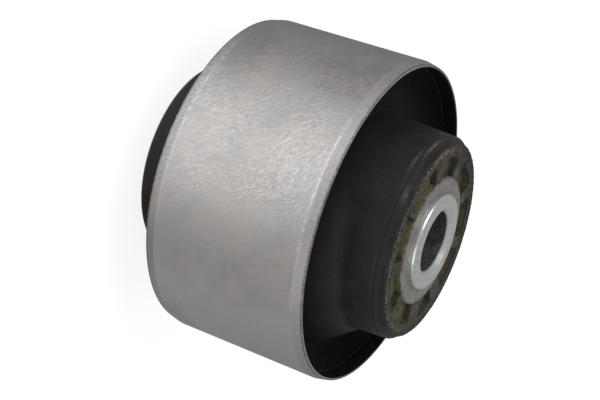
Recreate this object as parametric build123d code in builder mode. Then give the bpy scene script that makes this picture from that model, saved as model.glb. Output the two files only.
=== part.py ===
# Rubber-metal bush: a thin steel outer sleeve and a steel inner sleeve with a cast core round it,
# joined by one moulded rubber body.  The bush stands on its end with the bore along +Z, and its
# origin is the middle of the lower bearing face, in millimetres.
import os
from math import hypot, radians, tan

from build123d import *

os.makedirs("parts", exist_ok=True)

# Outer sleeve, pressed into the eye of an arm
outer_radius = 33.0            # outside of the sleeve
outer_wall = 1.0
outer_length = 34.3
lead_in_length = 2.1           # taper at each end, for pressing in
lead_in_drop = 0.45            # how much the taper takes off the radius
rim_round = 0.15               # broken edges of the two rims

# Inner sleeve, clamped by the bolt
bore_diameter = 12.2           # clearance for a 12 mm bolt
inner_wall = 3.7
bearing_overhang = 11.2        # from the outer sleeve's rim out to the bearing face
bore_chamfer = 0.95
bearing_edge_round = 0.75

# Cast core round the inner sleeve, with a neck at each end and a wider body under the rubber
core_wall = 3.25               # of the necks
core_setback = 1.2             # from the bearing face back to the core's end face
core_foot_chamfer = 0.25       # relief at the foot of the inner sleeve
core_edge_round = 0.2
core_step = 4.35               # how much wider the body is than its necks

# Rubber body, bonded to the core and to the outer sleeve
hub_wall = 3.3                 # rubber over the core's body at the shoulder
hub_draft_angle = 2.8          # flank opens towards the groove
rubber_setback = 1.2           # from the bearing face back to the rubber's end face
shoulder_depth = 1.35          # from the rubber's end face down to the shoulder
neck_drop = 1.0                # the neck above the shoulder, below the flank's radius
neck_height = 0.7              # from the shoulder up to the neck
lip_drop = 0.85                # the end lip, below the flank's radius
lip_edge = 0.6                 # bevel of the lip's edge
seam_depth = 0.22              # mould seam round the flank
seam_width = 0.4
seam_drop = 0.75               # from the shoulder down to the middle of the seam
groove_depth = 6.6             # from the outer sleeve's rim down to the groove's floor
lining_setback = 3.1           # from the outer sleeve's rim down to the lining's edge
lining_wall = 0.5              # rubber inside the sleeve at that edge
lining_toe = 4.1               # how far the lining's fillet reaches in over the floor

# Swell at the foot of the hub, on the +Y side only
swell_height = 8.6             # above the groove's floor
swell_offset = 3.4             # of its foot from the axis
swell_foot_radius = 23.8
swell_sink = 0.3               # how far its top lies inside the flank

# Pockets that the mould's locating fingers leave round the core's necks, open down to its body
pocket_count = 9
pocket_reach = 4.0             # outwards from the neck
pocket_round = 0.7
pocket_span_angle = 31.0
pocket_depth = 1.3
pocket_first_angle = -2.0

# Places that follow from the sizes above
half_outer = outer_length / 2
half_inner = half_outer + bearing_overhang
middle = Vector(0, 0, half_inner)
inner_radius = bore_diameter / 2 + inner_wall
core_radius = inner_radius + core_wall
half_core = half_inner - core_setback
half_rubber = half_inner - rubber_setback
core_body_radius = core_radius + core_step
half_core_body = half_rubber - pocket_depth
shoulder_radius = core_body_radius + hub_wall
shoulder_height = half_rubber - shoulder_depth
floor_height = half_outer - groove_depth
lining_height = half_outer - lining_setback
sleeve_bore_radius = outer_radius - outer_wall
lining_radius = sleeve_bore_radius - lining_wall


def flank_radius(height):
    """Radius of the hub's drafted flank at a height above the middle."""
    return shoulder_radius + (shoulder_height - height) * tan(radians(hub_draft_angle))


# Half sections are drawn outwards from the axis and upwards from the middle of the bush
section_plane = Plane(origin=middle, x_dir=(1, 0, 0), z_dir=(0, -1, 0))
middle_plane = Plane(origin=middle)


with BuildPart() as outer_sleeve:
    with BuildSketch(section_plane):
        with BuildLine():
            Polyline(
                (sleeve_bore_radius, 0),
                (sleeve_bore_radius, half_outer),
                (outer_radius - lead_in_drop, half_outer),
                (outer_radius, half_outer - lead_in_length),
                (outer_radius, 0),
            )
            mirror(about=Plane.XZ)
        make_face()
    revolve(axis=Axis.Z)
    rims = outer_sleeve.faces().filter_by(Axis.Z)
    fillet(rims.edges(), rim_round)


with BuildPart() as inner_sleeve:
    with BuildSketch(section_plane):
        with Locations((bore_diameter / 2 + inner_wall / 2, 0)):
            Rectangle(inner_wall, 2 * half_inner)
    revolve(axis=Axis.Z)
    bearing_faces = inner_sleeve.faces().filter_by(Axis.Z)
    outer_rings = bearing_faces.edges().filter_by(lambda ring: ring.radius > inner_radius - 0.01)
    bore_rings = bearing_faces.edges().filter_by(lambda ring: ring.radius < inner_radius - 0.01)
    chamfer(bore_rings, bore_chamfer)
    fillet(outer_rings, bearing_edge_round)


with BuildPart() as inner_core:
    with BuildSketch(section_plane):
        with Locations(((inner_radius + core_radius) / 2, 0)):
            Rectangle(core_wall, 2 * half_core)
        with Locations(((inner_radius + core_body_radius) / 2, 0)):
            Rectangle(core_wall + core_step, 2 * half_core_body)
    revolve(axis=Axis.Z)
    core_faces = inner_core.faces().filter_by(Axis.Z)
    top_face, bottom_face = core_faces.sort_by(Axis.Z)[-1], core_faces.sort_by(Axis.Z)[0]
    end_rings = top_face.edges() + bottom_face.edges()
    chamfer(end_rings.filter_by(lambda ring: ring.radius < core_radius - 0.01), core_foot_chamfer)
    fillet(end_rings.filter_by(lambda ring: ring.radius > core_radius - 0.01), core_edge_round)


with BuildPart() as rubber_body:
    # swell at the foot of the hub, in both grooves
    swell_top = floor_height + swell_height
    with BuildSketch(Plane.XY.offset(half_inner + swell_top)):
        Circle(flank_radius(swell_top) - swell_sink)
    with BuildSketch(Plane.XY.offset(half_inner + floor_height - swell_sink)):
        with Locations((0, swell_offset)):
            Circle(swell_foot_radius)
    loft()
    mirror(about=middle_plane)

    # hub, web and lining in one turn
    seam_height = shoulder_height - seam_drop
    toe_radius = lining_radius - lining_toe
    with BuildSketch(section_plane):
        with BuildLine():
            Polyline(
                (0, 0),
                (0, half_rubber),
                (shoulder_radius - lip_drop - lip_edge, half_rubber),
                (shoulder_radius - lip_drop, half_rubber - lip_edge),
                (shoulder_radius - neck_drop, shoulder_height + neck_height),
                (shoulder_radius, shoulder_height),
                (flank_radius(seam_height + seam_width / 2), seam_height + seam_width / 2),
                (flank_radius(seam_height) - seam_depth, seam_height),
                (flank_radius(seam_height - seam_width / 2), seam_height - seam_width / 2),
                (flank_radius(floor_height), floor_height),
                (toe_radius, floor_height),
            )
            TangentArc((toe_radius, floor_height), (lining_radius, lining_height), tangent=(1, 0))
            Polyline(
                (lining_radius, lining_height),
                (sleeve_bore_radius, lining_height),
                (sleeve_bore_radius, 0),
            )
            mirror(about=Plane.XZ)
        make_face()
    revolve(axis=Axis.Z)

    # pockets round the core's necks, at both ends
    pocket_radius = core_radius + pocket_reach
    half_width = outer_radius * tan(radians(pocket_span_angle / 2))
    for outwards in (1, -1):
        end_middle = middle + Vector(0, 0, outwards * half_rubber)
        with BuildSketch(Plane(origin=end_middle, x_dir=(1, 0, 0), z_dir=(0, 0, outwards))) as pockets:
            with PolarLocations(0, pocket_count, start_angle=outwards * pocket_first_angle):
                Polygon((0, 0), (outer_radius, -half_width), (outer_radius, half_width), align=None)
            Circle(pocket_radius, mode=Mode.INTERSECT)
            Circle(inner_radius, mode=Mode.SUBTRACT)
            corners = pockets.vertices().filter_by(lambda corner: hypot(corner.X, corner.Y) > core_radius)
            fillet(corners, pocket_round)
        extrude(amount=-pocket_depth, mode=Mode.SUBTRACT)

    # seat of the core, right through and wider between the pockets' floors
    with Locations(middle_plane):
        Hole(core_radius)
        Cylinder(core_body_radius, 2 * half_core_body, mode=Mode.SUBTRACT)


pieces = {
    "outer_sleeve": outer_sleeve,
    "inner_sleeve": inner_sleeve,
    "inner_core": inner_core,
    "rubber_body": rubber_body,
}
for name, piece in pieces.items():
    piece.part.label = name
    export_step(piece.part, f"parts/{name}.step")
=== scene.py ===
from math import atan2, cos, hypot, pi, radians, sin, sqrt, tan

import bpy
from mathutils import Matrix, Vector, noise


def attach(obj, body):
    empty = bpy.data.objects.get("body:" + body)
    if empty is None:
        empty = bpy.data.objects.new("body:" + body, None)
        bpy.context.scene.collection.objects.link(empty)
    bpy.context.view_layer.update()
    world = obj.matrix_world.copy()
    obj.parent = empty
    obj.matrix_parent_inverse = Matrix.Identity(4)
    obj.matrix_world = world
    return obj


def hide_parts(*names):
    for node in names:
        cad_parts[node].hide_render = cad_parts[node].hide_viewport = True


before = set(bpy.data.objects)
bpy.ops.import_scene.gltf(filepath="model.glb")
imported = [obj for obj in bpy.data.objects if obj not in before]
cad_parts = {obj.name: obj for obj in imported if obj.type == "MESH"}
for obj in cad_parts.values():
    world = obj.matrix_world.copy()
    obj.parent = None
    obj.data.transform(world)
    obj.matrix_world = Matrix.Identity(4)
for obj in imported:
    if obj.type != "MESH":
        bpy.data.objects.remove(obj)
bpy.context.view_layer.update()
mm = 0.001
middle = 28.35  # height of the middle of the bush above the lower bearing face, in mm
print("frame loaded:", ", ".join(sorted(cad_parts)))


def deselectAll():
    if bpy.context.object and bpy.context.object.mode != 'OBJECT':
        bpy.ops.object.mode_set(mode='OBJECT')
    bpy.ops.object.select_all(action='DESELECT')


def makeActive(piece):
    deselectAll()
    piece.select_set(True)
    bpy.context.view_layer.objects.active = piece


def drawOutline(name, points):
    # a small plane is merged to one vertex and extruded from point to point, in mm out and up
    deselectAll()
    spots = [Vector((out, 0, up)) * mm for out, up in points]
    bpy.ops.mesh.primitive_plane_add(size=mm, location=spots[0])
    piece = bpy.context.object
    piece.name = piece.data.name = name
    bpy.ops.object.transform_apply(location=True)
    bpy.ops.object.mode_set(mode='EDIT')
    bpy.ops.mesh.merge(type='CENTER')
    for last, spot in zip(spots, spots[1:]):
        bpy.ops.mesh.extrude_region_move(TRANSFORM_OT_translate={"value": spot - last})
    return piece


def turnOutline(piece, segments, smooth=30):
    # turns the outline round the bore's axis and closes the seam
    bpy.ops.mesh.select_all(action='SELECT')
    bpy.ops.mesh.spin(steps=segments, angle=2 * pi, center=(0, 0, 0), axis=(0, 0, 1))
    bpy.ops.mesh.select_all(action='SELECT')
    bpy.ops.mesh.remove_doubles(threshold=0.002 * mm)
    bpy.ops.mesh.normals_make_consistent(inside=False)
    bpy.ops.object.mode_set(mode='OBJECT')
    makeActive(piece)
    bpy.ops.object.shade_smooth_by_angle(angle=radians(smooth))


def run(start, end, steps):
    # points of a straight run, without its start
    return [(start[0] + (end[0] - start[0]) * i / steps, start[1] + (end[1] - start[1]) * i / steps)
            for i in range(1, steps + 1)]


def corner(centre, radius, first, last, steps):
    # points of an arc, angles in degrees from the outward direction
    return [(centre[0] + radius * cos(radians(first + (last - first) * i / steps)),
             centre[1] + radius * sin(radians(first + (last - first) * i / steps))) for i in range(steps + 1)]


def settle(piece, node):
    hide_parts(node)
    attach(piece, "root")
    print(piece.name, "has", len(piece.data.polygons), "faces")


# Outer sleeve: a thin steel ring with a lead-in taper at each end
outerSleeve = {"radius": 33.0, "wall": 1.0, "low": 11.2, "high": 45.5, "taper": 2.1, "drop": 0.45,
               "rimRound": 0.15, "segments": 360, "smooth": 11}


def makeOuterSleeve(s):
    outer, inner = s["radius"], s["radius"] - s["wall"]
    edge, rim = outer - s["drop"], s["rimRound"]
    high, low = s["high"], s["low"]
    outline = [(inner, low + rim)] + corner((inner + rim, low + rim), rim, 180, 270, 3)[1:]
    outline += corner((edge - rim, low + rim), rim, 270, 360, 3)
    outline += [(outer, low + s["taper"])]
    outline += run(outline[-1], (outer, high - s["taper"]), 12)
    outline += corner((edge - rim, high - rim), rim, 0, 90, 3)
    outline += corner((inner + rim, high - rim), rim, 90, 180, 3)
    outline += run(outline[-1], (inner, low + rim), 8)
    piece = drawOutline("outerSleeve", outline)
    turnOutline(piece, s["segments"], s["smooth"])
    for face in piece.data.polygons:
        # the inside is coated, the outside is bare
        spot = face.center
        face.material_index = 1 if hypot(spot.x, spot.y) < (inner + 0.06) * mm else 0
    settle(piece, "outer_sleeve")
    return piece


# Rubber body: end ring, lip, neck, mould seam, flank, floor and lining, heights in mm from the middle
rubberBody = {"seat": 17.4, "seatTop": 25.85, "neckBore": 13.05, "endTop": 27.15, "rim": 19.05,
              "lip": 19.8, "lipUp": 26.6, "shoulder": 20.7, "shoulderUp": 25.8, "draft": 2.8,
              "seamUp": 25.1, "floorUp": 10.55, "footRound": 0.7, "toe": 27.4,
              "lining": 31.5, "liningUp": 14.05, "wall": 32.0, "segments": 360, "smooth": 40}
# the lip with the shallow notch behind it, in mm out and up from the lip's edge
lipShape = ((-0.45, 0.5), (-0.19, 0.41), (-0.04, 0.25), (0, 0.08), (-0.03, -0.12), (-0.03, -0.26),
            (0.06, -0.42), (0.28, -0.6), (0.52, -0.8), (0.7, -1.0))
# the mould seam's groove, in mm up from the seam and into the flank
seamShape = ((0.34, 0.02), (0.2, 0.04), (0.08, 0.085), (-0.08, 0.085), (-0.2, 0.04), (-0.34, 0))
farLip = {"from": 17.3, "up": 27.6, "edge": 19.4, "round": 1.1}
swell = {"from": 20.6, "fade": 2.5, "height": 8.6, "offset": 3.4, "foot": 23.8, "sink": 0.3,
         "soften": 0.35}
uneven = {"wave": 0.06, "ripple": 0.04, "torn": 0.12, "bulge": 0.07, "fray": 0.08}
# nine pockets at each end, their spans in degrees
pockets = {"inner": 12.3, "reach": 17.05, "below": 0.4, "above": 1.5, "first": -2.0, "round": 0.7,
           "steps": 12, "spans": (33, 29, 27, 21, 30, 31, 30, 28, 34)}


def flank(up):
    s = rubberBody
    return s["shoulder"] + (s["shoulderUp"] - up) * tan(radians(s["draft"]))


def grooveOutline(s):
    # from the foot of the flank over the floor and up the lining, in mm out and up from the middle
    foot = flank(s["floorUp"])
    tall = s["liningUp"] - s["floorUp"]
    reach = s["lining"] - s["toe"]
    radius = (reach ** 2 + tall ** 2) / (2 * tall)
    last = -90 + 2 * atan2(tall, reach) * 180 / pi
    points = corner((foot + s["footRound"], s["floorUp"] + s["footRound"]), s["footRound"], 180, 270, 5)
    points += run(points[-1], (s["toe"], s["floorUp"]), 8)
    points += corner((s["toe"], s["floorUp"] + radius), radius, -90, last, 14)[1:]
    points += [(s["lining"] + 0.08, s["liningUp"] + 0.06), (s["wall"], s["liningUp"] + 0.06)]
    return points


def endOutline(s, reach, steps):
    # from the core's side up and out along the end ring
    points = [(s["seat"], 0), (s["seat"], s["seatTop"]), (s["neckBore"], s["seatTop"])]
    points += run(points[-1], (s["neckBore"], s["endTop"]), 3)
    return points + run(points[-1], (reach, s["endTop"]), steps)


def nearOutline(s):
    points = endOutline(s, s["rim"], 22)
    points += [(s["lip"] + out, s["lipUp"] + up) for out, up in lipShape]
    return points + [(flank(s["seamUp"] + up) - deep, s["seamUp"] + up) for up, deep in seamShape]


def farOutline(s):
    points = endOutline(s, farLip["from"], 10)
    points += run(points[-1], (farLip["edge"] - 0.6, farLip["up"]), 6)
    return points + corner((farLip["edge"], farLip["up"] - farLip["round"]), farLip["round"], 90, 5, 7)


def halfOutline(s, top):
    points = top(s)
    start = points[-1]
    bottom = s["floorUp"] + s["footRound"]
    points += run(start, (flank(bottom), bottom), 34)
    points += grooveOutline(s)[1:]
    points += run(points[-1], (s["wall"], 0), 4)
    return points


def smoothMax(a, b, width):
    # the larger of the two, with a soft change where they are close
    if abs(a - b) >= width:
        return max(a, b)
    return max(a, b) + (width - abs(a - b)) ** 2 / (4 * width)


def swellRadius(up, angle):
    # radius of the swell at a height above the middle, round an axis that leans towards +Y
    base = rubberBody["floorUp"] - swell["sink"]
    share = (up - base) / (swell["height"] + swell["sink"])
    if share > 1:
        return 0
    top = flank(rubberBody["floorUp"] + swell["height"]) - swell["sink"]
    radius = swell["foot"] + (top - swell["foot"]) * share
    off = swell["offset"] * (1 - share)
    return off * sin(angle) + sqrt(radius ** 2 - (off * cos(angle)) ** 2)


def pushSwell(piece, s):
    # the flank and the floor give way to the swell on the +Y side
    floorUp, footRound = rubberBody["floorUp"], rubberBody["footRound"]
    foot, edge = flank(floorUp), rubberBody["toe"] + s["fade"]
    for vertex in piece.data.vertices:
        out, angle = hypot(vertex.co.x, vertex.co.y) / mm, atan2(vertex.co.y, vertex.co.x)
        up = abs(vertex.co.z / mm - middle)
        if not (s["from"] <= out <= edge and floorUp - 0.01 <= up <= floorUp + s["height"] + 1):
            continue
        if out <= foot + footRound * 0.3 or up > floorUp + footRound * 0.9 and out < foot:
            target = smoothMax(out, swellRadius(up, angle), s["soften"])
        else:
            swollen = smoothMax(foot, swellRadius(floorUp, angle), s["soften"])
            target = out + (swollen - foot) * (edge - out) / (edge - foot)
        vertex.co.x *= target / out
        vertex.co.y *= target / out


def roughen(piece, s):
    # moulded unevenness: a wavy end ring and a torn lip
    for vertex in piece.data.vertices:
        co = vertex.co / mm
        out, up = hypot(co.x, co.y), co.z - middle
        if up > rubberBody["endTop"] - 0.02 and out > rubberBody["neckBore"] + 0.2:
            wave = noise.noise(co * 0.55) * s["wave"] + noise.noise(co * 1.9) * s["ripple"]
            torn = noise.noise(co * 3.1) * s["torn"] if out > rubberBody["rim"] - 0.6 else 0
            vertex.co.z += (wave + torn) * mm
        elif up > rubberBody["lipUp"] + 0.05 and out > rubberBody["rim"]:
            tear = noise.noise(co * 1.3) * s["bulge"] + noise.noise(co * 3.7 + Vector((7, 3, 1))) * s["fray"]
            outward = Vector((co.x, co.y, 0)) / out
            vertex.co += (outward * tear + Vector((0, 0, tear * 0.5))) * mm


def makePocketCutter(s, span):
    # a bar's outline is turned through one pocket's span, then its two outer corners are rounded
    floor, top = rubberBody["seatTop"] - s["below"], rubberBody["endTop"] + s["above"]
    half = radians(span) / 2
    outline = [(s["inner"], floor), (s["reach"], floor), (s["reach"], top), (s["inner"], top)]
    piece = drawOutline("pocketCutter", outline + outline[:1])
    bpy.ops.mesh.select_all(action='SELECT')
    bpy.ops.mesh.remove_doubles(threshold=0.002 * mm)
    bpy.ops.mesh.edge_face_add()
    bpy.ops.mesh.spin(steps=s["steps"], angle=-2 * half, center=(0, 0, 0), axis=(0, 0, 1))
    bpy.ops.mesh.select_all(action='SELECT')
    bpy.ops.mesh.normals_make_consistent(inside=False)
    bpy.ops.mesh.select_mode(type='EDGE')
    bpy.ops.mesh.select_all(action='DESELECT')
    bpy.ops.object.mode_set(mode='OBJECT')
    piece.data.transform(Matrix.Rotation(-half, 4, 'Z'))
    for edge in piece.data.edges:
        ends = [piece.data.vertices[i].co / mm for i in edge.vertices]
        upright = abs(ends[0].z - ends[1].z) > 1
        edge.select = upright and all(hypot(co.x, co.y) > s["reach"] - 0.1 for co in ends) and \
            all(abs(abs(atan2(co.y, co.x)) - half) < 0.01 for co in ends)
    makeActive(piece)
    bpy.ops.object.mode_set(mode='EDIT')
    bpy.ops.mesh.bevel(offset=s["round"] * mm, segments=4, affect='EDGES')
    bpy.ops.mesh.select_mode(type='VERT')
    bpy.ops.object.mode_set(mode='OBJECT')
    return piece


def cutPockets(piece, s):
    cutters = []
    for i, span in enumerate(s["spans"]):
        first = makePocketCutter(s, span)
        for side in (1, -1):
            cutter = first.copy()
            cutter.data = first.data.copy()
            bpy.context.scene.collection.objects.link(cutter)
            turn = Matrix.Rotation(radians(s["first"] + 360 * i / len(s["spans"])), 4, 'Z')
            cutter.data.transform(Matrix.Translation((0, 0, middle * mm)) @ turn)
            if side < 0:
                # the lower end mirrors the upper one
                flip = Matrix.Scale(-1, 4, (0, 0, 1))
                cutter.data.transform(Matrix.Translation((0, 0, 2 * middle * mm)) @ flip)
                cutter.data.flip_normals()
            cutters.append(cutter)
        bpy.data.objects.remove(first)
    makeActive(cutters[0])
    for cutter in cutters:
        cutter.select_set(True)
    bpy.ops.object.join()
    joined = bpy.context.object
    cut = piece.modifiers.new("pockets", 'BOOLEAN')
    cut.operation, cut.solver, cut.object = 'DIFFERENCE', 'EXACT', joined
    makeActive(piece)
    bpy.ops.object.modifier_apply(modifier="pockets")
    bpy.data.objects.remove(joined)


def makeRubberBody(s):
    upper = [(out, middle + up) for out, up in halfOutline(s, nearOutline)]
    lower = [(out, middle - up) for out, up in halfOutline(s, farOutline)]
    piece = drawOutline("rubberBody", upper + lower[::-1][1:])
    turnOutline(piece, s["segments"], s["smooth"])
    cutPockets(piece, pockets)
    pushSwell(piece, swell)
    roughen(piece, uneven)
    makeActive(piece)
    bpy.ops.object.shade_smooth_by_angle(angle=radians(s["smooth"]))
    settle(piece, "rubber_body")
    return piece


# Inner core: a cast ring with a narrow neck at each end and a wider coated body between them
innerCore = {"bore": 9.8, "neck": 13.05, "end": 27.15, "body": 17.4, "bodyEnd": 25.85, "edgeRound": 0.2,
             "segments": 240, "smooth": 35}


def makeInnerCore(s):
    neck, end, body, bodyEnd = s["neck"], s["end"], s["body"], s["bodyEnd"]
    half = [(s["bore"], end)] + run((s["bore"], end), (neck - s["edgeRound"], end), 8)
    half += corner((neck - s["edgeRound"], end - s["edgeRound"]), s["edgeRound"], 90, 0, 3)[1:]
    half += run(half[-1], (neck, bodyEnd), 3) + run((neck, bodyEnd), (body, bodyEnd), 10)
    upper = [(out, middle + up) for out, up in half]
    lower = [(out, middle - up) for out, up in half]
    piece = drawOutline("innerCore", upper + lower[::-1] + upper[:1])
    turnOutline(piece, s["segments"], s["smooth"])
    for face in piece.data.polygons:
        # bare casting on the end disc, olive coat on the neck's side and the body
        spot = face.center / mm
        onDisc = abs(spot.z - middle) > end - s["edgeRound"] + 0.02
        face.material_index = 0 if onDisc or hypot(spot.x, spot.y) < s["bore"] + 0.05 else 1
    settle(piece, "inner_core")
    return piece


# Inner sleeve: a thick turned tube, proud of the core at both ends
innerSleeve = {"bore": 6.1, "radius": 9.8, "end": middle, "edgeRound": 0.75, "chamfer": 0.95,
               "segments": 240}


def makeInnerSleeve(s):
    bore, radius, end, edge, cut = s["bore"], s["radius"], s["end"], s["edgeRound"], s["chamfer"]
    half = [(bore, end - cut), (bore + cut * 0.5, end - cut * 0.5), (bore + cut, end)]
    half += run(half[-1], (radius - edge, end), 5)
    half += corner((radius - edge, end - edge), edge, 90, 0, 6)[1:]
    upper = [(out, middle + up) for out, up in half]
    lower = [(out, middle - up) for out, up in half]
    outline = upper + run(upper[-1], lower[-1], 16)[:-1] + lower[::-1]
    outline += run(outline[-1], upper[0], 24)
    piece = drawOutline("innerSleeve", outline)
    turnOutline(piece, s["segments"])
    settle(piece, "inner_sleeve")
    return piece


outer = makeOuterSleeve(outerSleeve)
rubber = makeRubberBody(rubberBody)
core = makeInnerCore(innerCore)
inner = makeInnerSleeve(innerSleeve)


def put(tree, kind, **settings):
    node = tree.nodes.new(kind)
    for key, value in settings.items():
        setattr(node, key, value)
    return node


def feed(tree, socket, value):
    # a socket takes a link or a fixed value
    if isinstance(value, bpy.types.NodeSocket):
        tree.links.new(value, socket)
    else:
        socket.default_value = value


def maths(tree, operation, *values):
    node = put(tree, "ShaderNodeMath", operation=operation)
    for socket, value in zip(node.inputs, values):
        feed(tree, socket, value)
    return node.outputs[0]


def times(tree, *values):
    product = values[0]
    for value in values[1:]:
        product = maths(tree, 'MULTIPLY', product, value)
    return product


def highest(tree, *values):
    top = values[0]
    for value in values[1:]:
        top = maths(tree, 'MAXIMUM', top, value)
    return top


def remap(tree, value, low, high, toLow=0.0, toHigh=1.0):
    node = put(tree, "ShaderNodeMapRange", interpolation_type='SMOOTHSTEP')
    for socket, item in zip(node.inputs, (value, low, high, toLow, toHigh)):
        feed(tree, socket, item)
    return node.outputs[0]


def blend(tree, factor, first, second):
    node = put(tree, "ShaderNodeMix", data_type='RGBA')
    for number, value in ((0, factor), (6, first), (7, second)):
        feed(tree, node.inputs[number], (*value, 1) if isinstance(value, tuple) else value)
    return node.outputs[2]


def cloud(tree, coords, scale, detail=3.0, rough=0.55):
    node = put(tree, "ShaderNodeTexNoise")
    for name, value in (("Vector", coords), ("Scale", scale), ("Detail", detail), ("Roughness", rough)):
        feed(tree, node.inputs[name], value)
    return node.outputs[0]


def mmCoords(tree):
    # object coordinates in mm
    scaled = put(tree, "ShaderNodeVectorMath", operation='SCALE')
    feed(tree, scaled.inputs[0], put(tree, "ShaderNodeTexCoord").outputs["Object"])
    scaled.inputs["Scale"].default_value = 1 / mm
    return scaled.outputs[0]


def ringCoords(tree):
    # the same, with the distance from the bore's axis, the angle round it and the height
    coords = mmCoords(tree)
    parts = put(tree, "ShaderNodeSeparateXYZ")
    feed(tree, parts.inputs[0], coords)
    x, y, up = parts.outputs
    out = maths(tree, 'SQRT', maths(tree, 'ADD', times(tree, x, x), times(tree, y, y)))
    return coords, out, maths(tree, 'ARCTAN2', y, x), up


def near(tree, value, centre, reach):
    # 1 at the centre, 0 beyond the reach on both sides
    return remap(tree, maths(tree, 'ABSOLUTE', maths(tree, 'SUBTRACT', value, centre)), 0.0, reach, 1.0, 0.0)


def nearTurn(tree, turn, centre, reach):
    # the same for an angle, given in degrees
    return near(tree, turn, radians(centre), radians(reach))


def remapTurn(tree, turn, low, high, toLow=0.0, toHigh=1.0):
    return remap(tree, turn, radians(low), radians(high), toLow, toHigh)


def band(tree, value, low, high, soft):
    # 1 between low and high, with soft ends
    return times(tree, remap(tree, value, low - soft, low + soft),
                 remap(tree, value, high - soft, high + soft, 1.0, 0.0))


def startGroup(name, inputs, outputs):
    group = bpy.data.node_groups.new(name, "ShaderNodeTree")
    for label in inputs:
        group.interface.new_socket(label, in_out='INPUT', socket_type='NodeSocketFloat')
    for label in outputs:
        group.interface.new_socket(label, in_out='OUTPUT', socket_type='NodeSocketFloat')
    return group, put(group, "NodeGroupInput"), put(group, "NodeGroupOutput")


def makeScratchGroup():
    # short hairs, one in each cell of a flat cell pattern, each at its own angle and slightly bowed
    group, source, sink = startGroup("hairScratches", ("Along", "Up", "Scale", "Lean", "Spread", "Width",
                                                       "Length", "Share", "Seed"), ("Mask",))
    along, up, scale, lean, spread, width, length, share, seed = source.outputs[:9]
    spot = put(group, "ShaderNodeCombineXYZ")
    feed(group, spot.inputs[0], maths(group, 'ADD', along, seed))
    feed(group, spot.inputs[1], maths(group, 'ADD', up, seed))
    cells = put(group, "ShaderNodeTexVoronoi", voronoi_dimensions='2D')
    feed(group, cells.inputs["Vector"], spot.outputs[0])
    feed(group, cells.inputs["Scale"], scale)
    apart = put(group, "ShaderNodeVectorMath", operation='SUBTRACT')
    feed(group, apart.inputs[0], spot.outputs[0])
    feed(group, apart.inputs[1], cells.outputs["Position"])
    offset = put(group, "ShaderNodeSeparateXYZ")
    feed(group, offset.inputs[0], apart.outputs[0])
    chance = put(group, "ShaderNodeSeparateColor")
    feed(group, chance.inputs[0], cells.outputs["Color"])
    angle = maths(group, 'MULTIPLY_ADD', maths(group, 'SUBTRACT', chance.outputs[0], 0.5), spread, lean)
    cosine, sine = maths(group, 'COSINE', angle), maths(group, 'SINE', angle)
    across, upward = offset.outputs[:2]
    ahead = maths(group, 'ADD', times(group, across, cosine), times(group, upward, sine))
    aside = maths(group, 'SUBTRACT', times(group, upward, cosine), times(group, across, sine))
    bow = times(group, ahead, ahead, maths(group, 'SUBTRACT', chance.outputs[1], 0.5))
    aside = maths(group, 'ABSOLUTE', maths(group, 'MULTIPLY_ADD', bow, 0.12, aside))
    thin = remap(group, aside, 0.0, width, 1.0, 0.0)
    short = remap(group, maths(group, 'ABSOLUTE', ahead), 0.0, length, 1.0, 0.0)
    kept = maths(group, 'LESS_THAN', chance.outputs[2], share)
    feed(group, sink.inputs[0], times(group, thin, short, kept))
    return group


scratchGroup = makeScratchGroup()


def scratches(tree, along, up, lean, kinds):
    # the kinds of hair lie over one another
    masks = []
    for kind in kinds:
        node = put(tree, "ShaderNodeGroup", node_tree=scratchGroup)
        values = {"Along": along, "Up": up, "Scale": kind["scale"], "Lean": kind.get("lean", lean),
                  "Spread": radians(kind["spread"]), "Width": kind["width"], "Length": kind["length"],
                  "Share": kind["share"], "Seed": kind["seed"]}
        for label, value in values.items():
            feed(tree, node.inputs[label], value)
        masks.append(node.outputs[0])
    return highest(tree, *masks)


def startMaterial(name):
    mat = bpy.data.materials.new(name)
    mat.use_nodes = True
    return mat, mat.node_tree, mat.node_tree.nodes["Principled BSDF"]


def addBump(tree, shader, height, distance, strength):
    bump = put(tree, "ShaderNodeBump")
    bump.inputs["Distance"].default_value = distance * mm
    bump.inputs["Strength"].default_value = strength
    feed(tree, bump.inputs["Height"], height)
    feed(tree, shader.inputs["Normal"], bump.outputs[0])


# Bare scratched steel of the outer sleeve, angles in degrees round the axis, heights and hairs in mm
bareSteel = {"light": (0.47, 0.455, 0.446), "dark": (0.405, 0.395, 0.39), "pink": (0.49, 0.449, 0.434),
             "scratchAndGlint": (0.95, 0.92, 0.9), "pit": (0.12, 0.12, 0.12), "paintedShade": (0.2, 0.195, 0.195),
             "rough": 0.42, "metal": 0.85, "lean": 100, "leanGrowth": 1.05, "litBandTurn": -29,
             "litBandFull": 19, "litBandEnd": 42, "litBandLeast": 0.14, "wearAndGlintShare": 0.8, "paintedShadeShare": 0.35,
             "paintedShadeBehind": 0.55, "patchTurn": -62, "patchReach": 24, "patchUp": 37.0, "patchTall": 9.0}
steelHairs = [
    {"scale": 0.42, "spread": 40, "width": 0.045, "length": 1.9, "share": 0.8, "seed": 3},
    {"scale": 0.6, "spread": 45, "width": 0.042, "length": 1.4, "share": 0.8, "seed": 47},
    {"scale": 0.85, "spread": 60, "width": 0.042, "length": 0.95, "share": 0.8, "seed": 91},
    {"scale": 1.2, "spread": 90, "width": 0.045, "length": 0.5, "share": 0.8, "seed": 133},
    {"scale": 0.3, "spread": 35, "width": 0.05, "length": 2.2, "share": 0.35, "seed": 171},
    {"scale": 1.4, "spread": 100, "width": 0.045, "length": 0.42, "share": 0.8, "seed": 213}]
sootyHairs = [
    {"scale": 0.5, "spread": 50, "width": 0.1, "length": 1.6, "share": 0.8, "seed": 207},
    {"scale": 0.8, "spread": 80, "width": 0.09, "length": 1.0, "share": 0.8, "seed": 239}]


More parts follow.
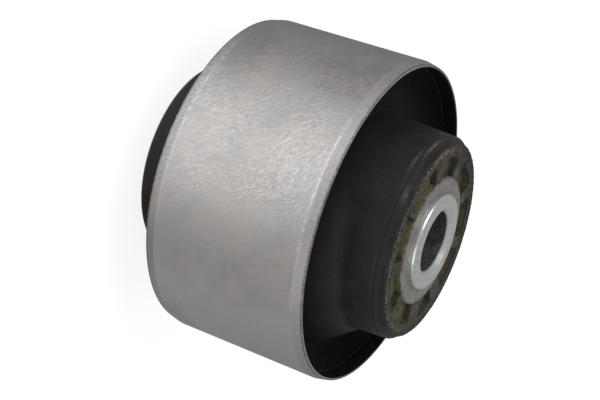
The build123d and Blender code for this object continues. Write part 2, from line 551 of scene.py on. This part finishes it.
def makeBareSteel(s):
    low, high, taper, radius = [outerSleeve[name] for name in ("low", "high", "taper", "radius")]
    mat, tree, shader = startMaterial("bareSteel")
    coords, out, turn, up = ringCoords(tree)
    along = times(tree, turn, radius)
    broad, fine = cloud(tree, coords, 0.06, 4, 0.6), cloud(tree, coords, 0.9, 5, 0.65)
    colour = blend(tree, remap(tree, broad, 0.35, 0.65), s["light"], s["dark"])
    colour = blend(tree, remap(tree, fine, 0.45, 0.75, 0.0, 0.35), colour, s["dark"])
    colour = blend(tree, remap(tree, cloud(tree, coords, 0.11, 3), 0.45, 0.7, 0.0, 0.6), colour, s["pink"])
    # the hairs lean over more towards the upper rim, and show most in patches in one band round the lit side:
    # real scratches with a painted highlight on them, painted bright only where the light falls
    lean = maths(tree, 'MULTIPLY_ADD', up, radians(s["leanGrowth"]), radians(s["lean"]))
    speckle = remap(tree, cloud(tree, coords, 2.6, 4, 0.75), 0.52, 0.72, 0.0, 0.3)
    hairs = highest(tree, scratches(tree, along, up, lean, steelHairs), speckle)
    patches = remap(tree, cloud(tree, coords, 0.09, 3), 0.35, 0.62, 0.35, 1.0)
    fromBand = maths(tree, 'ABSOLUTE', maths(tree, 'SUBTRACT', turn, radians(s["litBandTurn"])))
    litBand = remapTurn(tree, fromBand, s["litBandFull"], s["litBandEnd"], 1.0, s["litBandLeast"])
    worn = times(tree, hairs, patches, litBand)
    # painted shade: darker towards both edges of the view, where the sleeve turns away from the light, and
    # low down; the masks meet again behind, where the angle begins anew
    front = remapTurn(tree, maths(tree, 'ABSOLUTE', turn), 95, 170, 1.0, 0.0)
    shadedSides = highest(tree, remapTurn(tree, turn, -66, -84),
                    remapTurn(tree, turn, 34, 62, 0.0, s["paintedShadeBehind"]))
    shadedSides = maths(tree, 'MULTIPLY_ADD', front, maths(tree, 'SUBTRACT', shadedSides, s["paintedShadeBehind"]),
                  s["paintedShadeBehind"])
    shadedLowSides = highest(tree, nearTurn(tree, turn, -46, 25), remapTurn(tree, turn, 36, 62))
    shadedLowSides = times(tree, shadedLowSides, front, remap(tree, up, 25.0, 14.0, 0.0, 1.3))
    colour = blend(tree, times(tree, highest(tree, shadedSides, shadedLowSides), s["paintedShadeShare"]), colour, s["paintedShade"])
    # ragged bright lines where the tapers start, real edge wear with a painted highlight, kept to the lit
    # side, and painted shade on the tapers further round
    ragged = times(tree, remap(tree, cloud(tree, coords, 0.7, 5, 0.8), 0.4, 0.64, 0.0, 0.8),
                   nearTurn(tree, turn, -24, 60))
    edgeUp = maths(tree, 'MULTIPLY_ADD', cloud(tree, coords, 0.5, 3), 0.5, maths(tree, 'SUBTRACT', up, 0.25))
    taperEdgeGlints = highest(tree, near(tree, edgeUp, high - taper, 0.5),
                     times(tree, near(tree, edgeUp, low + taper, 0.7), 0.6))
    shadedLowTaper = times(tree, remap(tree, edgeUp, low + taper + 0.05, low + taper - 0.2), front,
                     remapTurn(tree, turn, -60, -15, 0.1, 0.42))
    shadedHighTaper = times(tree, remap(tree, edgeUp, high - taper + 0.05, high - taper + 0.25), front,
                      remapTurn(tree, turn, -15, 20, 0.0, 0.24))
    for mask in (shadedLowTaper, shadedHighTaper):
        colour = blend(tree, mask, colour, s["paintedShade"])
    worn = highest(tree, worn, times(tree, taperEdgeGlints, ragged))
    # painted highlight: scratches and the taper-edge lines are painted near white, only in the lit band
    colour = blend(tree, times(tree, worn, s["wearAndGlintShare"]), colour, s["scratchAndGlint"])
    # darker hairs in a stained patch towards the upper rim
    patch = times(tree, nearTurn(tree, turn, s["patchTurn"], s["patchReach"]),
                  near(tree, up, s["patchUp"], s["patchTall"]),
                  remap(tree, cloud(tree, coords, 0.25, 4, 0.6), 0.35, 0.6))
    sooty = maths(tree, 'MULTIPLY_ADD', scratches(tree, along, up, lean, sootyHairs), 0.4, 0.16)
    colour = blend(tree, times(tree, sooty, patch), colour, s["pit"])
    # pits all over, dark bands just outside the cut rims, and darker on the upper rim's far side
    pits = remap(tree, cloud(tree, coords, 2.4, 2), 0.66, 0.74, 0.0, 0.3)
    rims = highest(tree, remap(tree, up, high - 0.42, high - 0.2), remap(tree, up, low + 0.6, low + 0.2))
    stain = times(tree, rims, remap(tree, out, radius - 0.75, radius - 0.55),
                  remap(tree, cloud(tree, coords, 2.0, 4, 0.7), 0.4, 0.6, 0.45, 0.9))
    farRimDark = times(tree, remap(tree, up, high - 0.3, high - 0.1),
                 remap(tree, maths(tree, 'COSINE', turn), 0.3, -0.15, 0.0, 0.85))
    colour = blend(tree, highest(tree, pits, stain, farRimDark), colour, s["pit"])
    feed(tree, shader.inputs["Base Color"], colour)
    shader.inputs["Metallic"].default_value = s["metal"]
    rough = remap(tree, fine, 0.3, 0.7, s["rough"] - 0.07, s["rough"] + 0.1)
    feed(tree, shader.inputs["Roughness"], maths(tree, 'MULTIPLY_ADD', worn, -0.12, rough))
    addBump(tree, shader, maths(tree, 'MULTIPLY_ADD', worn, -0.35, times(tree, fine, 0.6)), 0.04, 0.28)
    return mat


# Black coat inside the sleeve
blackCoat = {"colour": (0.006, 0.006, 0.006), "dust": (0.03, 0.028, 0.026), "rough": 0.5, "shine": 0.25}


def makeBlackCoat(s):
    mat, tree, shader = startMaterial("blackCoat")
    grain = cloud(tree, mmCoords(tree), 1.4, 5, 0.6)
    colour = blend(tree, remap(tree, grain, 0.5, 0.75), s["colour"], s["dust"])
    feed(tree, shader.inputs["Base Color"], colour)
    feed(tree, shader.inputs["Roughness"], remap(tree, grain, 0.3, 0.7, s["rough"] - 0.1, s["rough"] + 0.12))
    shader.inputs["Specular IOR Level"].default_value = s["shine"]
    addBump(tree, shader, grain, 0.05, 0.4)
    return mat


# Light scuffs on the hub: place and reach in degrees round the axis and in mm up from the middle
scuffs = [{"turn": -62, "wide": 18, "rise": 25.35, "tall": 0.5, "bright": 1.0},
          {"turn": -48, "wide": 15, "rise": 24.4, "tall": 0.5, "bright": 0.7},
          {"turn": -85, "wide": 9, "rise": 23.9, "tall": 0.4, "bright": 0.6},
          {"turn": -26, "wide": 7, "rise": 26.0, "tall": 0.9, "bright": 0.5}]
rubberHairs = [
    {"scale": 0.3, "lean": 0.35, "spread": 140, "width": 0.09, "length": 2.2, "share": 0.35, "seed": 11},
    {"scale": 0.55, "lean": 1.05, "spread": 180, "width": 0.06, "length": 1.2, "share": 0.3, "seed": 59}]

# Moulded black rubber, with dirt, rust and smears on its end rings
blackRubber = {"deep": (0.011, 0.011, 0.0118), "worn": (0.019, 0.0188, 0.0202), "scuff": (0.105, 0.102, 0.1),
               "lining": (0.004, 0.004, 0.004), "dirt": (0.06, 0.053, 0.045), "rust": (0.24, 0.128, 0.075),
               "fleck": (0.32, 0.3, 0.26), "olive": (0.07, 0.067, 0.042), "film": (0.098, 0.092, 0.052),
               "mauve": (0.068, 0.055, 0.052), "rubbed": (0.12, 0.113, 0.1), "side": (0.03, 0.026, 0.018),
               "rough": 0.52, "shine": 0.22, "hairRadius": 20.8, "hairShare": 0.16, "rustTurn": -68,
               "rustReach": 30, "mauveTurn": 122, "mauveReach": 57}


def makeBlackRubber(s):
    mat, tree, shader = startMaterial("blackRubber")
    coords, out, turn, up = ringCoords(tree)
    rise = maths(tree, 'SUBTRACT', up, middle)
    fromMiddle = maths(tree, 'ABSOLUTE', rise)
    side = maths(tree, 'COSINE', turn)  # 1 on the +X side, -1 on the far side
    grain, broad = cloud(tree, coords, 2.2, 4, 0.6), cloud(tree, coords, 0.16, 4, 0.6)
    colour = blend(tree, remap(tree, broad, 0.35, 0.68), s["deep"], s["worn"])
    hairs = scratches(tree, times(tree, turn, s["hairRadius"]), up, 0.0, rubberHairs)
    colour = blend(tree, times(tree, hairs, s["hairShare"]), colour, s["scuff"])
    ragged = remap(tree, cloud(tree, coords, 1.2, 5, 0.75), 0.34, 0.52)
    for scuff in scuffs:
        mark = times(tree, nearTurn(tree, turn, scuff["turn"], scuff["wide"]),
                     near(tree, rise, scuff["rise"], scuff["tall"]), ragged, scuff["bright"])
        colour = blend(tree, mark, colour, s["scuff"])
    # painted shade: the lining and the hub's foot, deep in the groove, are painted darkest
    foot = remap(tree, fromMiddle, 18.5, 12.0, 0.0, 0.75)
    for mask in (remap(tree, out, 25.0, 29.0), foot):
        colour = blend(tree, mask, colour, s["lining"])
    # the end ring: mud all over, olive smears on the +X side, ribs rubbed grey beside the core
    onEnd = remap(tree, fromMiddle, 26.7, 26.95)
    onFace = times(tree, onEnd, remap(tree, out, 19.1, 18.6))
    mud = times(tree, onFace, remap(tree, cloud(tree, coords, 0.7, 5, 0.65), 0.36, 0.66))
    smear = times(tree, onFace, remap(tree, cloud(tree, coords, 0.45, 4), 0.44, 0.62, 0.0, 0.9),
                  remap(tree, side, -0.5, 0.8, 0.2, 1.0))
    rubbed = times(tree, onFace, remap(tree, out, 16.4, 13.4, 0.0, 0.85),
                   remap(tree, side, 0.75, 0.0, 0.1, 1.0),
                   remap(tree, cloud(tree, coords, 0.9, 4, 0.65), 0.38, 0.6, 0.2, 0.85))
    for mask, shade in ((mud, "dirt"), (smear, "olive"), (rubbed, "rubbed")):
        colour = blend(tree, mask, colour, s[shade])
    # a film on the pockets' walls, with painted shade where the ribs face into the pockets
    wall = times(tree, band(tree, out, 13.2, 17.3, 0.1), remap(tree, fromMiddle, 25.5, 25.8),
                 remap(tree, fromMiddle, 27.0, 26.8), 0.85)
    film = blend(tree, remap(tree, cloud(tree, coords, 0.5, 4), 0.4, 0.62), s["film"], s["dirt"])
    film = blend(tree, times(tree, band(tree, out, 13.2, 16.5, 0.3), 0.7), film, s["side"])
    colour = blend(tree, wall, colour, film)
    # mauve dust low on the far side, dark cracks all over the ring, and a dark edge on the far side
    mauve = times(tree, onFace, nearTurn(tree, turn, s["mauveTurn"], s["mauveReach"]),
                  remap(tree, cloud(tree, coords, 0.6, 4), 0.3, 0.6, 0.2, 0.9))
    cracks = times(tree, onFace, remap(tree, cloud(tree, coords, 1.1, 5, 0.75), 0.42, 0.34, 0.0, 0.8))
    edge = times(tree, onEnd, remap(tree, out, 17.6, 18.6), remap(tree, side, 0.3, -0.3, 0.0, 0.75))
    # rust in one place on the rim, and light flecks all along it
    rusty = times(tree, onEnd, near(tree, out, rubberBody["rim"] - 0.25, 0.95),
                  nearTurn(tree, turn, s["rustTurn"], s["rustReach"]),
                  remap(tree, cloud(tree, coords, 1.5, 5, 0.8), 0.44, 0.62))
    flecks = times(tree, onEnd, remap(tree, cloud(tree, coords, 2.6, 3, 0.6), 0.56, 0.64),
                   near(tree, out, 18.6, 0.9), remap(tree, side, -0.3, 0.4, 0.3, 1.0))
    for mask, shade in ((mauve, "mauve"), (cracks, "deep"), (edge, "deep"), (rusty, "rust"),
                        (flecks, "fleck")):
        colour = blend(tree, mask, colour, s[shade])
    feed(tree, shader.inputs["Base Color"], colour)
    rough = remap(tree, grain, 0.3, 0.7, s["rough"] - 0.08, s["rough"] + 0.12)
    rough = maths(tree, 'MULTIPLY_ADD', foot, 0.45, rough)
    feed(tree, shader.inputs["Roughness"], maths(tree, 'MULTIPLY_ADD', onFace, 0.15, rough))
    shader.inputs["Specular IOR Level"].default_value = s["shine"]
    lumps = times(tree, onFace, cloud(tree, coords, 1.6, 5, 0.65))
    addBump(tree, shader, maths(tree, 'MULTIPLY_ADD', lumps, 2.5, grain), 0.06, 0.7)
    return mat


# Grey end disc of the casting, with turning rings and stains
castGrey = {"light": (0.29, 0.283, 0.273), "dark": (0.225, 0.22, 0.212), "stain": (0.07, 0.062, 0.045),
            "rough": 0.45, "metal": 0.6}


def makeCastGrey(s):
    mat, tree, shader = startMaterial("castGrey")
    coords, out = ringCoords(tree)[:2]
    wander = cloud(tree, coords, 0.3)
    rings = maths(tree, 'SINE', maths(tree, 'MULTIPLY_ADD', wander, 3.0, times(tree, out, 16.0)))
    mottle = cloud(tree, coords, 0.8, 5, 0.6)
    colour = blend(tree, remap(tree, mottle, 0.35, 0.65), s["light"], s["dark"])
    colour = blend(tree, remap(tree, rings, -1.0, 1.0, 0.0, 0.16), colour, s["dark"])
    edge = times(tree, remap(tree, out, 12.2, 13.0), remap(tree, mottle, 0.35, 0.6, 0.3, 1.0))
    feed(tree, shader.inputs["Base Color"], blend(tree, edge, colour, s["stain"]))
    shader.inputs["Metallic"].default_value = s["metal"]
    rough = remap(tree, mottle, 0.3, 0.7, s["rough"] - 0.08, s["rough"] + 0.12)
    feed(tree, shader.inputs["Roughness"], rough)
    addBump(tree, shader, maths(tree, 'MULTIPLY_ADD', rings, 0.15, mottle), 0.05, 0.5)
    return mat


# Olive coat on the core's body and necks
oliveCoat = {"light": (0.14, 0.135, 0.068), "dark": (0.07, 0.068, 0.038), "brown": (0.085, 0.06, 0.036),
             "shade": (0.055, 0.043, 0.028), "shadeTurn": -150, "rough": 0.5, "shine": 0.35}


def makeOliveCoat(s):
    mat, tree, shader = startMaterial("oliveCoat")
    coords, _, turn, _ = ringCoords(tree)
    mottle, fine = cloud(tree, coords, 0.35, 4, 0.6), cloud(tree, coords, 1.8, 4, 0.6)
    colour = blend(tree, remap(tree, fine, 0.35, 0.7), s["light"], s["dark"])
    colour = blend(tree, remap(tree, mottle, 0.48, 0.7), colour, s["brown"])
    # painted shade: browner and darker on the far side of the ring
    side = maths(tree, 'COSINE', maths(tree, 'SUBTRACT', turn, radians(s["shadeTurn"])))
    colour = blend(tree, remap(tree, side, -0.1, 0.8, 0.0, 0.9), colour, s["shade"])
    feed(tree, shader.inputs["Base Color"], colour)
    feed(tree, shader.inputs["Roughness"], remap(tree, fine, 0.3, 0.7, s["rough"] - 0.1, s["rough"] + 0.1))
    shader.inputs["Specular IOR Level"].default_value = s["shine"]
    addBump(tree, shader, fine, 0.06, 0.6)
    return mat


# Turned steel of the inner sleeve, darker inside the bore
turnedSteel = {"light": (0.66, 0.665, 0.67), "dark": (0.5, 0.5, 0.505), "bore": (0.2, 0.205, 0.205),
               "paintedLitBore": (0.33, 0.345, 0.345), "rough": 0.3, "metal": 0.9}


def makeTurnedSteel(s):
    mat, tree, shader = startMaterial("turnedSteel")
    coords, out, turn, _ = ringCoords(tree)
    rings, mottle = cloud(tree, out, 9.0, 2), cloud(tree, coords, 0.9, 5, 0.6)
    colour = blend(tree, remap(tree, mottle, 0.35, 0.7), s["light"], s["dark"])
    colour = blend(tree, remap(tree, rings, 0.4, 0.7, 0.0, 0.3), colour, s["dark"])
    # painted light: the bore is painted lighter towards +Y, where light falls into it
    bore = blend(tree, remap(tree, maths(tree, 'SINE', turn), -0.2, 0.5), s["bore"], s["paintedLitBore"])
    bore = blend(tree, remap(tree, cloud(tree, coords, 0.5, 4), 0.45, 0.62, 0.0, 0.2), bore, s["bore"])
    inBore = remap(tree, out, innerSleeve["bore"] + 0.3, innerSleeve["bore"] + 0.05)
    feed(tree, shader.inputs["Base Color"], blend(tree, inBore, colour, bore))
    shader.inputs["Metallic"].default_value = s["metal"]
    rough = remap(tree, mottle, 0.3, 0.7, s["rough"] - 0.08, s["rough"] + 0.12)
    feed(tree, shader.inputs["Roughness"], rough)
    addBump(tree, shader, maths(tree, 'MULTIPLY_ADD', rings, 0.4, mottle), 0.03, 0.5)
    return mat


outer.data.materials.append(makeBareSteel(bareSteel))
outer.data.materials.append(makeBlackCoat(blackCoat))
rubber.data.materials.append(makeBlackRubber(blackRubber))
core.data.materials.append(makeCastGrey(castGrey))
core.data.materials.append(makeOliveCoat(oliveCoat))
inner.data.materials.append(makeTurnedSteel(turnedSteel))
print("materials made")

# Floor, surroundings, lamps and camera, in metres and degrees
stage = {"floorSize": 6.0, "floorLift": -0.02 * mm, "floorGlow": 0.85, "floorColour": 0.3,
         "floorBounce": 0.8, "cardTurn": -25, "cardReach": 68, "cardDark": 0.29, "cardLight": 1.2,
         "sideTurn": 68, "sideReach": 85, "sideLight": 0.19, "worldLight": 0.6}
lamps = [{"name": "key", "place": (0.27, -0.42, 0.42), "aim": (0, 0, 0.03), "size": 0.5, "power": 1.8},
         {"name": "fill", "place": (0.38, 0.36, 0.32), "aim": (0, 0, 0.03), "size": 0.5, "power": 0.8}]
camera = {"lens": 81.12, "sensor": 36, "clip": 0.01, "shift": (-0.5 / 600, 0.5 / 600),
          "place": (0.24756, -0.03479, 0.13840), "right": (-0.4291, -0.2757, 0.8601),
          "up": (0, -0.9523, -0.3052), "back": (0.9032, -0.1310, 0.4087)}


def makeFloor(s):
    deselectAll()
    bpy.ops.mesh.primitive_plane_add(size=s["floorSize"], location=(0, 0, s["floorLift"]))
    floor = bpy.context.object
    floor.name = "floor"
    mat = bpy.data.materials.new("palePaper")
    mat.use_nodes = True
    tree = mat.node_tree
    tree.nodes.clear()
    # the camera sees glowing paper that still takes a faint shadow
    glow, thin, add = [put(tree, "ShaderNode" + kind) for kind in ("Emission", "BsdfDiffuse", "AddShader")]
    glow.inputs["Strength"].default_value = s["floorGlow"]
    thin.inputs["Color"].default_value = (s["floorColour"],) * 3 + (1,)
    feed(tree, add.inputs[0], glow.outputs[0])
    feed(tree, add.inputs[1], thin.outputs[0])
    # painted light: in reflections the paper glows as if lit from one side, brightest in a broad lobe there
    # and faintly in a second lobe
    spot = put(tree, "ShaderNodeSeparateXYZ")
    feed(tree, spot.inputs[0], put(tree, "ShaderNodeTexCoord").outputs["Object"])
    turn = maths(tree, 'ARCTAN2', spot.outputs[1], spot.outputs[0])
    lit = s["cardDark"]
    for side in ("card", "side"):
        mask = nearTurn(tree, turn, s[side + "Turn"], s[side + "Reach"])
        lit = maths(tree, 'MULTIPLY_ADD', mask, s[side + "Light"], lit)
    card = put(tree, "ShaderNodeEmission")
    feed(tree, card.inputs["Strength"], lit)
    # everything else gets plain pale paper
    bounce = put(tree, "ShaderNodeBsdfDiffuse")
    bounce.inputs["Color"].default_value = (s["floorBounce"],) * 3 + (1,)
    path = put(tree, "ShaderNodeLightPath")
    surface = bounce
    for ray, shader in (("Is Glossy Ray", card), ("Is Camera Ray", add)):
        choice = put(tree, "ShaderNodeMixShader")
        for number, source in ((0, path.outputs[ray]), (1, surface.outputs[0]), (2, shader.outputs[0])):
            feed(tree, choice.inputs[number], source)
        surface = choice
    feed(tree, put(tree, "ShaderNodeOutputMaterial").inputs[0], surface.outputs[0])
    floor.data.materials.append(mat)


def makeWorld(s):
    world = bpy.data.worlds.new("studio")
    bpy.context.scene.world = world
    world.use_nodes = True
    tree = world.node_tree
    tree.nodes.clear()
    strength = put(tree, "ShaderNodeMix")
    feed(tree, strength.inputs["Factor"], put(tree, "ShaderNodeLightPath").outputs["Is Camera Ray"])
    feed(tree, strength.inputs["A"], s["worldLight"])
    feed(tree, strength.inputs["B"], 1.0)
    back = put(tree, "ShaderNodeBackground")
    feed(tree, back.inputs["Strength"], strength.outputs["Result"])
    feed(tree, put(tree, "ShaderNodeOutputWorld").inputs[0], back.outputs[0])


def makeLamp(s):
    lamp = bpy.data.lights.new(s["name"], 'AREA')
    lamp.shape = 'DISK'
    lamp.size = s["size"]
    lamp.energy = s["power"]
    thing = bpy.data.objects.new(s["name"], lamp)
    bpy.context.scene.collection.objects.link(thing)
    thing.location = s["place"]
    thing.rotation_mode = 'QUATERNION'
    thing.rotation_quaternion = (Vector(s["aim"]) - Vector(s["place"])).to_track_quat('-Z', 'Y')


def makeCamera(s):
    cam = bpy.data.cameras.new("camera")
    cam.lens = s["lens"]
    cam.sensor_width = s["sensor"]
    cam.clip_start = s["clip"]
    cam.shift_x, cam.shift_y = s["shift"]
    thing = bpy.data.objects.new("camera", cam)
    bpy.context.scene.collection.objects.link(thing)
    turn = Matrix((s["right"], s["up"], s["back"])).transposed().to_4x4()
    thing.matrix_world = Matrix.Translation(s["place"]) @ turn
    bpy.context.scene.camera = thing


makeFloor(stage)
makeWorld(stage)
for lamp in lamps:
    makeLamp(lamp)
makeCamera(camera)
bpy.context.scene.view_settings.view_transform = 'Standard'
print("floor, lamps and camera placed")
